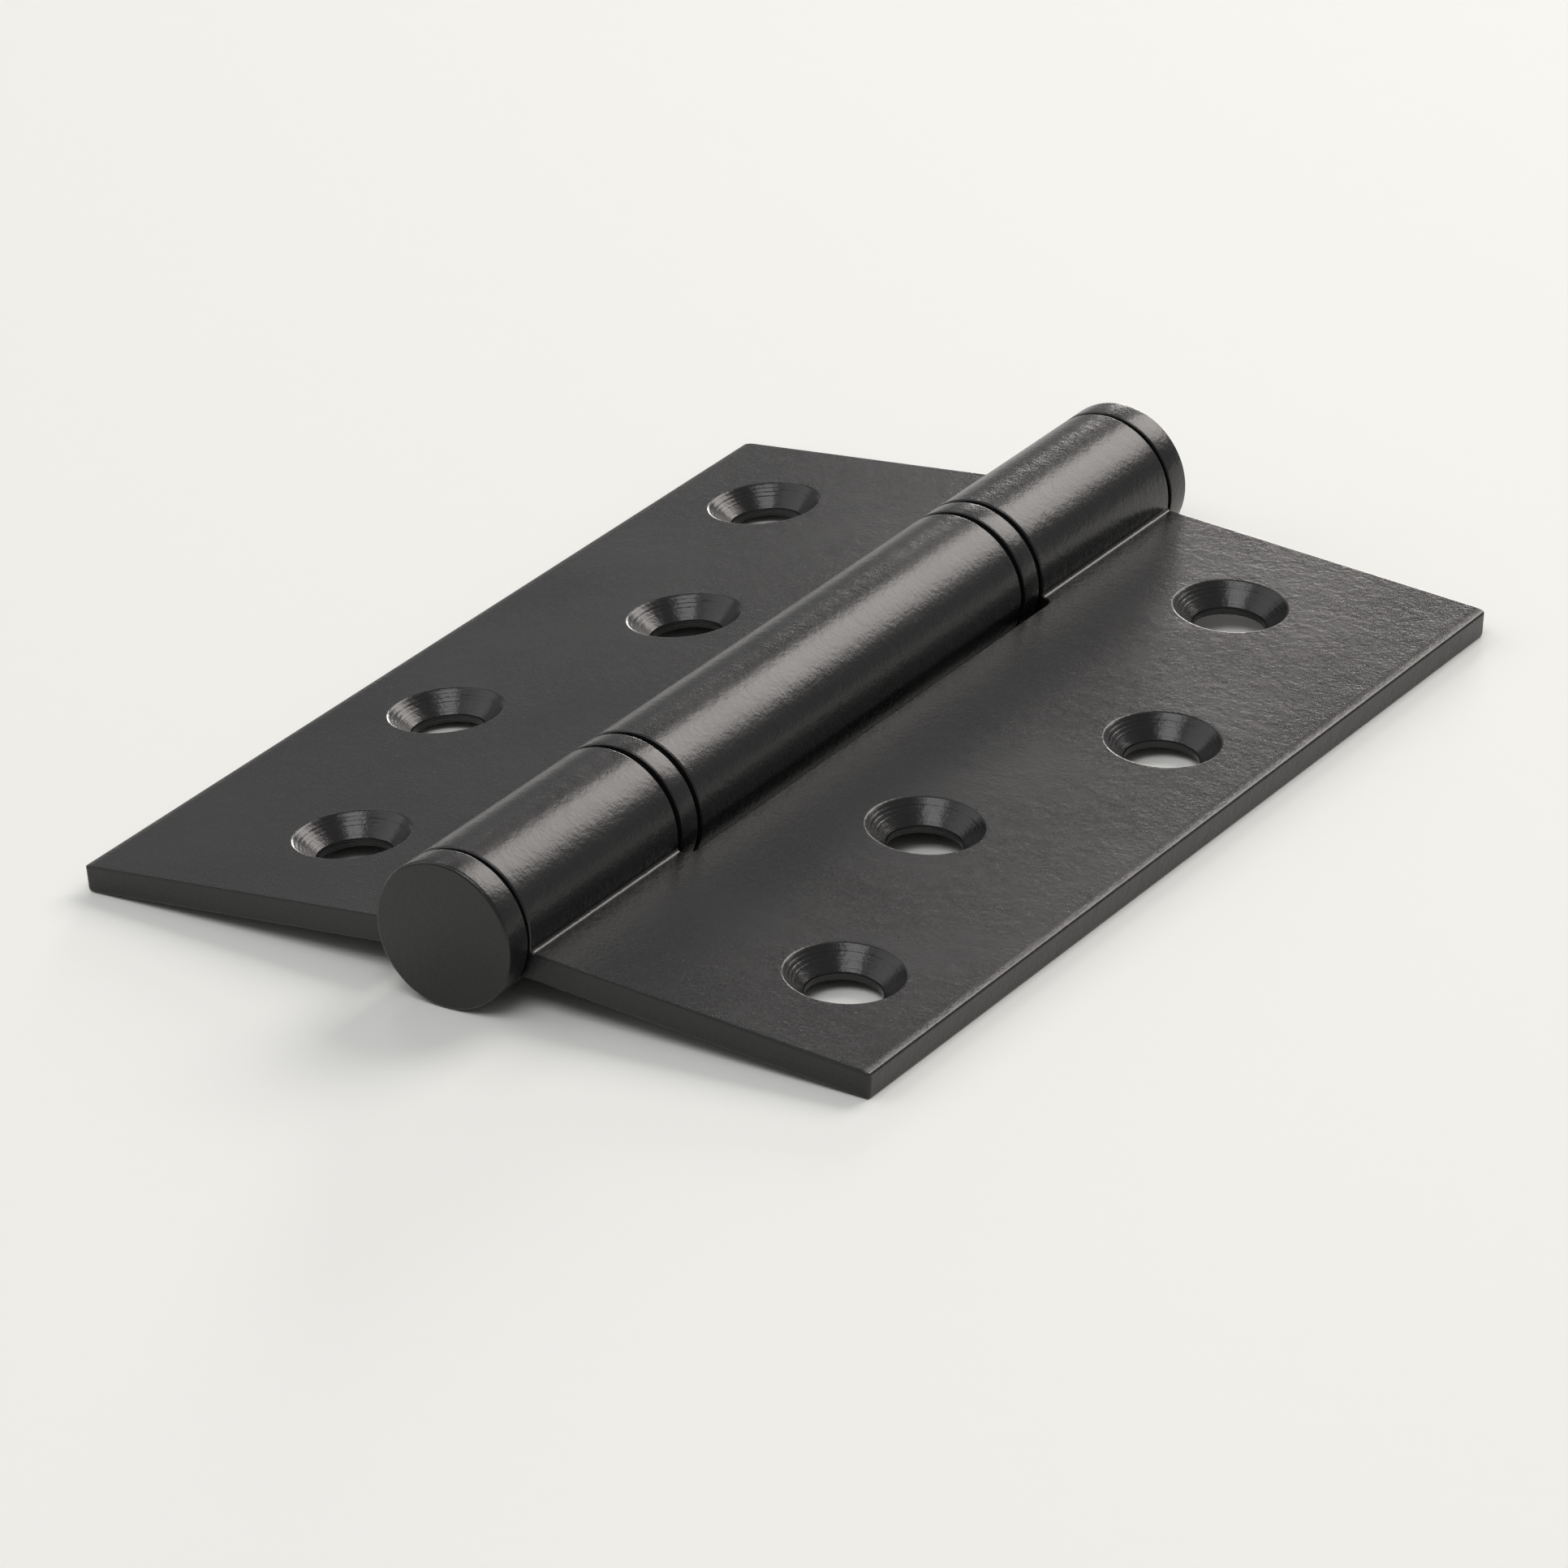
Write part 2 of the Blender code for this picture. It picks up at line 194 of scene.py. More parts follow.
class LeafSizes:
    """A leaf's sizes in its own frame, in millimetres."""

    def __init__(self, node, turn):
        to_leaf = leaf_place(turn).inverted()
        points = [to_leaf @ vertex.co for vertex in frame["nodes"][node].data.vertices]
        self.points = points
        self.reach = max(point.x for point in points)
        self.end = max(point.y for point in points)
        outer = [point.z for point in points if point.x > self.reach / 2]
        self.face = max(outer)
        self.back = min(outer)
        knuckles = [abs(point.y) for point in points if point.x < 0]
        self.knuckle_start = min(knuckles)
        self.knuckle_end = max(knuckles)
        openings = frame["record"]["physics"]["openings"]
        boxes = [opening["box_m"] for opening in openings if opening["name"].startswith(HOLE_NAMES[node])]
        self.holes = sorted((self.hole_near(to_leaf, box) for box in boxes), key=lambda hole: hole[1])

    def hole_near(self, to_leaf, box):
        """(out, along, rim radius, land radius) of the screw hole round a box in the room."""
        about = to_leaf @ ((Vector(box[0]) + Vector(box[1])) / 2)
        near = [point for point in self.points if (point.xy - about.xy).length < HOLE_REGION]
        rim = [point for point in near if abs(point.z - self.face) < SAME_PLACE]
        land = [point for point in near if abs(point.z - self.back) < SAME_PLACE]
        out = (min(point.x for point in rim) + max(point.x for point in rim)) / 2
        along = (min(point.y for point in rim) + max(point.y for point in rim)) / 2
        rim_radius = (max(point.y for point in rim) - min(point.y for point in rim)) / 2
        land_radius = (max(point.y for point in land) - min(point.y for point in land)) / 2
        return out, along, rim_radius, land_radius


OUTER_LEAF = LeafSizes("leaf_outer_knuckles", 0.0)
CENTRE_LEAF = LeafSizes("leaf_centre_knuckle", math.pi)
COVER = TurnedSizes("bearing_cover_far")
CAP = TurnedSizes("end_cap_far")
PIN = TurnedSizes("hinge_pin")
BUSH = TurnedSizes("bush_far")
FIXED_RACE = TurnedSizes("fixed_race_far")
SWINGING_RACE = TurnedSizes("swinging_race_far")
CAGE = TurnedSizes("ball_cage_far")
BALL = TurnedSizes("ball_far_01")

OUTER_START = OUTER_LEAF.knuckle_start
CENTRE_END = CENTRE_LEAF.knuckle_end
NOTCH_EDGE = min(point.x for point in CENTRE_LEAF.points if abs(point.y) > CENTRE_LEAF.end - SAME_PLACE)
NOTCH_FILLET = -CENTRE_END + min(
    abs(point.y) for point in CENTRE_LEAF.points if abs(point.x - NOTCH_EDGE) < SAME_PLACE)
BARREL_RADIUS = COVER.radius
BALL_RADIUS = (BALL.high - BALL.low) / 2
BALL_COUNT = sum(name.startswith("ball_far_") for name in frame["nodes"])
CAGE_MIDDLE = (CAGE.low + CAGE.high) / 2
BALL_PITCH_RADIUS = (CAGE.radius + CAGE.bore) / 2


def bore_of(node):
    """Radius of the hole that the pin or its bushes pass through, in millimetres."""
    to_pin = pin_place().inverted()
    return min((to_pin @ vertex.co).xy.length for vertex in frame["nodes"][node].data.vertices)


# Sizes and colours that can be changed


def length(name, description, size, precision=5):
    return FloatProperty(
        name=name, description=description, default=size, unit="LENGTH", precision=precision)


def colour(name, description, default):
    return FloatVectorProperty(
        name=name, description=description, subtype="COLOR", size=3, min=0, max=1, default=default)


def power(name, description, default):
    return FloatProperty(name=name, description=description, default=default, min=0, unit="POWER")


class HingeShape(bpy.types.PropertyGroup):
    roll_radius: length(
        "Roll radius", "Radius of the shallow roll along the outer edge of each drilled face", 3.2 * MM)
    roll_angle: FloatProperty(
        name="Roll angle", description="How far the roll turns down before it meets the edge's side",
        default=math.radians(20), subtype="ANGLE")
    corner_edge: length("Corner", "Rounding of the upright edges at each leaf's outer corners", 0.4 * MM)
    back_edge: length("Back edge", "Rounding of the edges of each leaf's back", 0.4 * MM)
    short_edge: length("Short edge", "Rounding of the leaf ends, notches and knuckle ends", 0.18 * MM)
    rim_edge: length("Countersink rim", "Rounding where a countersink meets the leaf's face", 0.12 * MM)
    knuckle_root: length("Knuckle root", "Fillet between a knuckle and its leaf", 0.35 * MM)
    cap_edge: length("Cap edge", "Rounding of the end caps' outer edge", 0.32 * MM)


class HingeFinish(bpy.types.PropertyGroup):
    coat: colour("Coat", "Colour of the matte coat", (0.0078, 0.0076, 0.0077))
    coat_roughness: FloatProperty(
        name="Coat roughness", description="Mean roughness of the matte coat", default=0.275, min=0, max=1,
        subtype="FACTOR")
    peel_size: length("Peel size", "Width of the fine ripples in the coat", 0.45 * MM)
    peel_depth: length("Peel depth", "Height of the fine ripples in the coat", 0.05 * MM, 6)
    turning_size: length(
        "Turning marks", "Spacing of the marks left by turning and countersinking", 0.2 * MM)
    steel: colour("Steel", "Colour of the pin, races and balls", (0.56, 0.56, 0.58))
    bronze: colour("Bronze", "Colour of the bushes", (0.50, 0.31, 0.15))
    brass: colour("Brass", "Colour of the ball cages", (0.64, 0.47, 0.20))


class HingeStage(bpy.types.PropertyGroup):
    floor: colour("Floor", "Colour of the floor", (0.80, 0.805, 0.78))
    room: FloatProperty(
        name="Room light", description="Strength of the even light all round", default=0.30, min=0)
    main: power("Main light", "Power of the large soft light behind", 34.0)
    side: power("Side light", "Power of the soft light at the left, which lights the floor", 14.0)
    top: power("Top light", "Power of the soft light above the front", 21.0)
    low: power("Low light", "Power of the light that stands low behind", 16.0)
    corner: power("Corner light", "Power of the light behind and to the left", 2.5)
    lens: FloatProperty(
        name="Lens", description="Focal length of the camera in millimetres", default=203.98, min=1)


# Outlines and solids, in millimetres


def arc(centre, radius, start, end, steps=ARC_STEPS):
    """Points along an arc, both ends included. Angles are anticlockwise from the first axis."""
    angles = [start + (end - start) * step / steps for step in range(steps + 1)]
    return [centre + radius * Vector((math.cos(angle), math.sin(angle))) for angle in angles]


def rounded(corners):
    """A closed outline from corners given as (x, y, radius of rounding)."""
    points = []
    for index, (x, y, radius) in enumerate(corners):
        corner = Vector((x, y))
        if radius == 0:
            points.append(corner)
            continue
        before = (Vector(corners[index - 1][:2]) - corner).normalized()
        after = (Vector(corners[(index + 1) % len(corners)][:2]) - corner).normalized()
        half = math.acos(before.dot(after)) / 2
        centre = corner + (before + after).normalized() * radius / math.sin(half)
        inward = corner + before * radius / math.tan(half) - centre
        start = math.atan2(inward.y, inward.x)
        side = math.copysign(1.0, after.cross(before))
        points.extend(arc(centre, radius, start, start + side * (math.pi - 2 * half)))
    return points


def new_object(name, shape):
    """An object in the scene that holds the mesh of a bmesh, which is freed."""
    mesh = bpy.data.meshes.new(name)
    shape.to_mesh(mesh)
    shape.free()
    obj = bpy.data.objects.new(name, mesh)
    bpy.context.scene.collection.objects.link(obj)
    return obj


def prism(name, outline, low, high, place):
    """The outline drawn out from low to high. place turns (x, y, level) into a point."""
    shape = bmesh.new()
    ends = [[shape.verts.new(place(point.x, point.y, level)) for point in outline] for level in (low, high)]
    shape.faces.new(ends[0])
    shape.faces.new(ends[1])
    for index in range(len(outline)):
        following = (index + 1) % len(outline)
        shape.faces.new((ends[0][index], ends[0][following], ends[1][following], ends[1][index]))
    bmesh.ops.recalc_face_normals(shape, faces=shape.faces)
    return new_object(name, shape)


def turned(name, corners, steps):
    """A solid turned round Z from a closed outline of (radius, station, rounding) corners."""
    shape = bmesh.new()
    outline = [shape.verts.new((point.x, 0.0, point.y)) for point in rounded(corners)]
    pairs = zip(outline, outline[1:] + outline[:1])
    edges = [shape.edges.new(pair) for pair in pairs if pair[0].co.x > 0 or pair[1].co.x > 0]
    bmesh.ops.spin(
        shape, geom=outline + edges, axis=(0, 0, 1), cent=(0, 0, 0), angle=math.tau, steps=steps)
    bmesh.ops.remove_doubles(shape, verts=shape.verts, dist=MERGE_DISTANCE)
    bmesh.ops.recalc_face_normals(shape, faces=shape.faces)
    return new_object(name, shape)


def ring(name, radius, bore, low, high, steps, corner=RIM_CORNER):
    corners = [
        (bore, low, RIM_CORNER), (radius, low, corner), (radius, high, corner), (bore, high, RIM_CORNER)]
    return turned(name, corners, steps)


def baked(obj):
    """Makes what the object's modifiers give its plain mesh."""
    graph = bpy.context.evaluated_depsgraph_get()
    mesh = bpy.data.meshes.new_from_object(obj.evaluated_get(graph))
    obj.modifiers.clear()
    obj.data = mesh
    mesh.name = obj.name
    return obj


def cut(obj, *cutters):
    """Takes the cutters away from the object, and removes them."""
    for cutter in cutters:
        modifier = obj.modifiers.new(cutter.name, "BOOLEAN")
        modifier.operation = "DIFFERENCE"
        modifier.solver = "EXACT"
        modifier.object = cutter
    baked(obj)
    for cutter in cutters:
        bpy.data.objects.remove(cutter)
    return obj


def smooth(obj):
    """Smooth shading, with the edges that stayed square kept sharp."""
    obj.data.shade_smooth()
    obj.data.set_sharp_from_angle(angle=SMOOTH_ANGLE)
    return obj


def finished(obj, place, body, nodes):
    """Puts a piece in its place in the room, in its mesh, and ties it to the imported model."""
    obj.data.transform(place)
    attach(obj, body)
    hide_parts(*nodes)
    return obj


# Node trees


class Value:
    """A socket. Arithmetic on a number's socket adds the Math nodes for it."""

    def __init__(self, tree, socket):
        self.tree = tree
        self.socket = socket

    def maths(self, operation, first, second):
        return self.tree.node("ShaderNodeMath", {"operation": operation}, {0: first, 1: second})

    def __add__(self, other):
        return self.maths("ADD", self, other)

    def __sub__(self, other):
        return self.maths("SUBTRACT", self, other)

    def __mul__(self, other):
        return self.maths("MULTIPLY", self, other)

    def __mod__(self, other):
        return self.maths("FLOORED_MODULO", self, other)

    __radd__ = __add__


class Tree:
    """A node tree being built, for a finish or for Geometry Nodes."""

    def __init__(self, tree):
        self.tree = tree

    def node(self, kind, settings, sockets, output=0):
        """Adds a node: its settings first, then its sockets' values or links. Gives one output, or
        several where output is a tuple of names."""
        node = self.tree.nodes.new(kind)
        for name, value in settings.items():
            setattr(node, name, value)
        for key, value in sockets.items():
            socket = self.socket(node.inputs, key)
            if isinstance(value, Value):
                self.tree.links.new(value.socket, socket)
            else:
                socket.default_value = value
        if isinstance(output, tuple):
            return [Value(self, self.socket(node.outputs, name)) for name in output]
        if len(node.outputs) == 0:
            return None
        return Value(self, self.socket(node.outputs, output))

    @staticmethod
    def socket(sockets, key):
        if isinstance(key, int):
            return sockets[key]
        return next(socket for socket in sockets if socket.enabled and socket.name == key)


class Pattern(Tree):
    """A Geometry Nodes tree with named inputs. It ends in Realize Instances and Set Material."""

    def __init__(self, name, inputs):
        super().__init__(bpy.data.node_groups.new(name, "GeometryNodeTree"))
        for label, kind in inputs.items():
            self.tree.interface.new_socket(name=label, in_out="INPUT", socket_type=kind)
        self.tree.interface.new_socket(name="Geometry", in_out="OUTPUT", socket_type="NodeSocketGeometry")
        self.entry = self.tree.nodes.new("NodeGroupInput")

    def input(self, label):
        return Value(self, self.entry.outputs[label])

    def end(self, instances):
        mesh = self.node("GeometryNodeRealizeInstances", {}, {"Geometry": instances}, "Geometry")
        named = {"Geometry": mesh, "Material": self.input("Material")}
        done = self.node("GeometryNodeSetMaterial", {}, named, "Geometry")
        self.node("NodeGroupOutput", {}, {"Geometry": done})
        return self

    def make(self, name, **inputs):
        """A plain object of what the tree gives for these inputs. A part passed in is removed."""
        obj = bpy.data.objects.new(name, bpy.data.meshes.new(name))
        bpy.context.scene.collection.objects.link(obj)
        modifier = obj.modifiers.new(name, "NODES")
        modifier.node_group = self.tree
        for item in self.tree.interface.items_tree:
            if item.in_out == "INPUT":
                modifier[item.identifier] = inputs[item.name.lower().replace(" ", "_")]
        baked(obj)
        bpy.data.objects.remove(inputs["part"])
        return obj


def hole_row():
    """Copies of a part in a zigzag row along Y, between an inner and an outer line."""
    pattern = Pattern("screw hole row", {
        "Part": "NodeSocketObject", "Count": "NodeSocketInt", "First": "NodeSocketFloat",
        "Pitch": "NodeSocketFloat", "Even Row": "NodeSocketFloat", "Odd Row": "NodeSocketFloat",
        "Material": "NodeSocketMaterial"})
    index = pattern.node("GeometryNodeInputIndex", {}, {})
    even = pattern.input("Even Row")
    out = even + (index % 2) * (pattern.input("Odd Row") - even)
    along = pattern.input("First") + index * pattern.input("Pitch")
    place = pattern.node("ShaderNodeCombineXYZ", {}, {"X": out, "Y": along})
    row = pattern.node("GeometryNodePoints", {}, {"Count": pattern.input("Count"), "Position": place})
    return copies_on(pattern, row)


def part_ring():
    """Copies of a part evenly round the pin."""
    pattern = Pattern("ring of parts", {
        "Part": "NodeSocketObject", "Count": "NodeSocketInt", "Pitch Radius": "NodeSocketFloat",
        "Station": "NodeSocketFloat", "Material": "NodeSocketMaterial"})
    sizes = {"Vertices": pattern.input("Count"), "Radius": pattern.input("Pitch Radius")}
    circle = pattern.node("GeometryNodeMeshCircle", {}, sizes)
    lift = pattern.node("ShaderNodeCombineXYZ", {}, {"Z": pattern.input("Station")})
    moved = pattern.node("GeometryNodeTransform", {}, {"Geometry": circle, "Translation": lift})
    return copies_on(pattern, moved)


def copies_on(pattern, points):
    part = pattern.node("GeometryNodeObjectInfo", {}, {"Object": pattern.input("Part")}, "Geometry")
    instances = pattern.node("GeometryNodeInstanceOnPoints", {}, {"Points": points, "Instance": part})
    return pattern.end(instances)


# Finishes


class Finish(Tree):
    """A material being built."""

    def __init__(self, name):
        self.material = bpy.data.materials.new(name)
        self.material.use_nodes = True
        super().__init__(self.material.node_tree)
        self.tree.nodes.clear()
        self.where = self.node("ShaderNodeTexCoord", {}, {}, "Object")

    def noise(self, size, detail=2.0, stretch=(1.0, 1.0, 1.0)):
        """Smooth noise about one half, with features of this size in metres."""
        spot = self.node("ShaderNodeMapping", {}, {"Vector": self.where, "Scale": stretch})
        sockets = {"Vector": spot, "Scale": 1 / size, "Detail": detail}
        return self.node("ShaderNodeTexNoise", {}, sockets, "Fac")

    def blend(self, share, first, second):
        """A colour between two others."""
        sockets = {"Factor": share, "A": (*first, 1.0), "B": (*second, 1.0)}
        return self.node("ShaderNodeMix", {"data_type": "RGBA"}, sockets, "Result")

    def clamp(self, value, low, high):
        return self.node("ShaderNodeClamp", {}, {"Value": value, "Min": low, "Max": high})

    def surface(self, colour, roughness, height, depth, **constants):
        """Ends the tree. height runs from about 0 to 1, and depth is its full range in metres."""
        bump = self.node("ShaderNodeBump", {}, {"Strength": 1.0, "Distance": depth, "Height": height})
        sockets = {"Base Color": colour, "Roughness": roughness, "Normal": bump}
        sockets.update({name.replace("_", " "): value for name, value in constants.items()})
        shader = self.node("ShaderNodeBsdfPrincipled", {}, sockets)
        self.node("ShaderNodeOutputMaterial", {}, {"Surface": shader})
        return self.material


def coat(look, name, marks=0.0, roughness_share=1.0, turning=None):
    """The matte black coat: fine ripples, a slow undulation and a slightly uneven gloss. turning
    gives the height of any tool marks under it, and marks their share of the relief."""
    finish = Finish(name)
    ripple = finish.noise(look.peel_size)
    grain = finish.noise(look.peel_size * GRAIN_SIZE, 1.0)
    swell = finish.noise(look.peel_size * SWELL_SIZE, 1.0)
    cloud = finish.noise(look.peel_size * CLOUD_SIZE, 3.0)
    height = ripple * RIPPLE_SHARE + grain * GRAIN_SHARE + swell * SWELL_SHARE
    if turning:
        height = height + turning(finish) * marks
    dark = [channel * (1 - COLOUR_SPREAD) for channel in look.coat]
    light = [channel * (1 + COLOUR_SPREAD) for channel in look.coat]
    tone = finish.clamp(ripple * 0.5 + cloud * 1.2 - 0.35, 0.0, 1.0)
    mean = look.coat_roughness * roughness_share
    uneven = mean + (cloud - 0.5) * CLOUD_SPREAD + (grain - 0.5) * GRAIN_SPREAD
    roughness = finish.clamp(uneven, 0.1, 0.9)
    return finish.surface(finish.blend(tone, dark, light), roughness, height, look.peel_depth)


def barrel_rings(look):
    """Marks that run round the barrel, from turning it before it was coated."""
    def height(finish):
        fine = finish.noise(look.turning_size, 2.0, (0.01, 1.0, 0.01))
        broad = finish.noise(look.turning_size * 5, 1.0, (0.02, 1.0, 0.02))
        return fine * 0.6 + broad * 0.4
    return height


def countersink_rings(look, side):
    """Marks that run round a countersink, which lie at equal depths below the leaf's face."""
    def height(finish):
        x, z = finish.node("ShaderNodeSeparateXYZ", {}, {"Vector": finish.where}, ("X", "Z"))
        depth = x * (side * math.sin(LEAF_DROOP)) + z * math.cos(LEAF_DROOP)
        spot = finish.node("ShaderNodeCombineXYZ", {}, {"Z": depth})
        sockets = {"Vector": spot, "Scale": 1 / look.turning_size, "Detail": 2.0}
        return finish.node("ShaderNodeTexNoise", {}, sockets, "Fac")
    return height


def flat_coat(look):
    return bpy.data.materials.get("matte coat") or coat(look, "matte coat")


def barrel_coat(look):
    rings = barrel_rings(look)
    return bpy.data.materials.get("matte coat on barrel") or coat(
        look, "matte coat on barrel", marks=BARREL_MARKS, turning=rings)


def countersink_coat(look, leaf_name, side):
    name = "coat in countersinks, " + leaf_name
    rings = countersink_rings(look, side)
    return bpy.data.materials.get(name) or coat(
        look, name, marks=COUNTERSINK_MARKS, roughness_share=COUNTERSINK_ROUGHNESS, turning=rings)


def bare_metal(name, colour, roughness, spread, size, depth, stretch=(1.0, 1.0, 1.0)):
    """Bare metal with fine marks, which stretch along the directions given small numbers."""
    found = bpy.data.materials.get(name)
    if found:
        return found
    finish = Finish(name)
    marks = finish.noise(size, 3.0, stretch)
    stain = finish.noise(size * 12, 2.0)
    dull = [channel * 0.8 for channel in colour]
    tone = finish.clamp(stain * 1.6 - 0.3, 0.0, 1.0)
    uneven = finish.clamp(roughness + (marks - 0.5) * spread + (stain - 0.5) * spread, 0.05, 0.9)
    return finish.surface(finish.blend(tone, dull, colour), uneven, marks, depth, Metallic=1.0)


def ground_steel(look):
    return bare_metal(
        "ground steel", look.steel, roughness=0.28, spread=0.2, size=0.12 * MM, depth=0.002 * MM,
        stretch=(0.03, 1.0, 0.03))


def polished_steel(look):
    return bare_metal(
        "polished bearing steel", look.steel, roughness=0.12, spread=0.08, size=0.2 * MM,
        depth=0.0005 * MM)


def sintered_bronze(look):
    return bare_metal(
        "sintered bronze", look.bronze, roughness=0.4, spread=0.3, size=0.15 * MM, depth=0.01 * MM)


def satin_brass(look):
    return bare_metal(
        "satin brass", look.brass, roughness=0.3, spread=0.2, size=0.1 * MM, depth=0.002 * MM)


def floor_finish(stage):
    finish = Finish("pale floor")
    grain = finish.noise(FLOOR_GRAIN, 3.0)
    low = [channel * FLOOR_SHADE for channel in stage.floor]
    tone = finish.blend(grain, low, stage.floor)
    return finish.surface(tone, FLOOR_ROUGHNESS, grain, FLOOR_RELIEF)


# The leaves


def leaf_section(leaf, root, roll, roll_angle):
    """Outline of a leaf with its knuckle, seen along the pin, as (out, up)."""
    top = Vector((math.sqrt((BARREL_RADIUS + root) ** 2 - (leaf.face + root) ** 2), leaf.face + root))
    under = Vector((math.sqrt((BARREL_RADIUS + root) ** 2 - (leaf.back - root) ** 2), leaf.back - root))
    top_angle = math.atan2(top.y, top.x)
    under_angle = math.atan2(under.y, under.x)
    steps = round(BARREL_STEPS * (math.tau + under_angle - top_angle) / math.tau)
    roll_centre = Vector((leaf.reach - roll * math.sin(roll_angle), leaf.face - roll))
    return [
        *arc(Vector((0, 0)), BARREL_RADIUS, top_angle, under_angle + math.tau, steps),
        *arc(under, root, under_angle + math.pi, math.pi / 2)[1:],
        Vector((leaf.reach, leaf.back)),
        *arc(roll_centre, roll, math.pi / 2 - roll_angle, math.pi / 2, ROLL_STEPS),
        *arc(top, root, -math.pi / 2, top_angle - math.pi)[:-1],
    ]


def notch(name, low, high):
    """Cutter that frees a leaf from the barrel between two places along the pin."""
    fillets = [NOTCH_FILLET if abs(place) < OUTER_LEAF.end else 0.0 for place in (low, high)]
    outline = rounded([
        (-FAR, low, 0.0), (NOTCH_EDGE, low, fillets[0]), (NOTCH_EDGE, high, fillets[1]), (-FAR, high, 0.0)])
    return prism(name, outline, -FAR, FAR, lambda x, y, level: (x, y, level))


def screw_holes(leaf, material):
    """Cutters of a leaf's countersunk holes."""
    out, along, rim, land = leaf.holes[0]
    depth = rim - land
    corners = [
        (0.0, OVERCUT, 0.0), (rim + OVERCUT, OVERCUT, 0.0), (land, -depth, 0.0),
        (land, leaf.back - leaf.face - OVERCUT, 0.0), (0.0, leaf.back - leaf.face - OVERCUT, 0.0)]
    plug = turned("screw hole", corners, HOLE_STEPS)
    plug.data.transform(Matrix.Translation((0.0, 0.0, leaf.face)))
    second = leaf.holes[1]
    return hole_row().make(
        "screw holes", part=plug, count=len(leaf.holes), first=along, pitch=second[1] - along,
        even_row=out, odd_row=second[0], material=material)


def edge_rounding(leaf, shape, edge):
    """How far an edge of a leaf is rounded, in millimetres."""
    a, b = (vertex.co for vertex in edge.verts)
    middle = (a + b) / 2
    if middle.xz.length < BARREL_RADIUS - SAME_PLACE:
        return 0.0
    for out, along, rim, _ in leaf.holes:
        if math.hypot(middle.x - out, middle.y - along) < rim + SAME_PLACE:
            return shape.rim_edge / MM
    level = abs(a.z - b.z) < SAME_PLACE
    if middle.x > BARREL_RADIUS and middle.z < (leaf.face + leaf.back) / 2 and level:
        return shape.back_edge / MM
    if min(a.x, b.x) > leaf.reach - SAME_PLACE and abs(a.y - b.y) < SAME_PLACE:
        return shape.corner_edge / MM
    return shape.short_edge / MM


def round_edges(leaf, shape, obj):
    """Rounds the leaf's outer corners by how each is made, and keeps its other corners sharp."""
    mesh = bmesh.new()
    mesh.from_mesh(obj.data)
    bmesh.ops.remove_doubles(mesh, verts=mesh.verts, dist=MERGE_DISTANCE)
    bmesh.ops.dissolve_limit(mesh, angle_limit=FLAT_ANGLE, verts=mesh.verts, edges=mesh.edges)
    weight = mesh.edges.layers.float.new("bevel_weight_edge")
    widest = max(shape.corner_edge, shape.back_edge, shape.short_edge, shape.rim_edge) / MM
    for face in mesh.faces:
        face.smooth = True
    for edge in mesh.edges:
        if len(edge.link_faces) == 2 and edge.calc_face_angle() > CORNER_ANGLE:
            rounding = edge_rounding(leaf, shape, edge) if edge.is_convex else 0.0
            edge[weight] = rounding / widest
            edge.smooth = rounding > 0.0
    mesh.to_mesh(obj.data)
    mesh.free()
    bevel = obj.modifiers.new("edges", "BEVEL")
    bevel.limit_method = "WEIGHT"
    bevel.width = widest
    bevel.segments = BEVEL_SEGMENTS
    bevel.use_clamp_overlap = False
    # The strongest weight keeps each large face's own normal right up to its rounded edges
    normals = obj.modifiers.new("normals", "WEIGHTED_NORMAL")
    normals.keep_sharp = True
    normals.weight = 100
    return baked(obj)


def sort_finishes(leaf, obj):
    """Gives each face the flat, barrel or countersink coat, which are the object's three slots."""
    for face in obj.data.polygons:
        spot = face.center
        if spot.xz.length < BARREL_RADIUS + SAME_PLACE and spot.x < BARREL_RADIUS - KNUCKLE_INSET:
            face.material_index = 1
        corners = [obj.data.vertices[index].co for index in face.vertices]
        for out, along, rim, _ in leaf.holes:
            if all(math.hypot(corner.x - out, corner.y - along) < rim for corner in corners):
                face.material_index = 2


def make_leaf(context, name, node, body, leaf, turn, notches):
    shape = context.scene.hinge_shape
    look = context.scene.hinge_finish
    outline = leaf_section(leaf, shape.knuckle_root / MM, shape.roll_radius / MM, shape.roll_angle)
    obj = prism(name, outline, -leaf.end, leaf.end, lambda x, y, level: (x, level, y))
    radius = bore_of(node)
    corners = [(0, -FAR, 0), (radius, -FAR, 0), (radius, FAR, 0), (0, FAR, 0)]
    bore = turned("bore", corners, BARREL_STEPS)
    bore.data.transform(Matrix.Rotation(-math.pi / 2, 4, "X"))
    side = math.cos(turn)
    materials = [flat_coat(look), barrel_coat(look), countersink_coat(look, name, side)]
    cut(obj, bore, *notches, screw_holes(leaf, materials[2]))
    round_edges(leaf, shape, obj)
    obj.data.materials.clear()
    for material in materials:
        obj.data.materials.append(material)
    sort_finishes(leaf, obj)
    return finished(obj, leaf_place(turn), body, [node])


class HINGE_OT_outer_leaf(bpy.types.Operator):
    """Make the leaf that carries the two outer knuckles"""

    bl_idname = "hinge.outer_leaf"
    bl_label = "Leaf with Outer Knuckles"

    def execute(self, context):
        notches = [notch("middle notch", -OUTER_START, OUTER_START)]
        make_leaf(
            context, "outer_leaf", "leaf_outer_knuckles", "outer_knuckle_leaf", OUTER_LEAF, 0.0, notches)
        return {"FINISHED"}


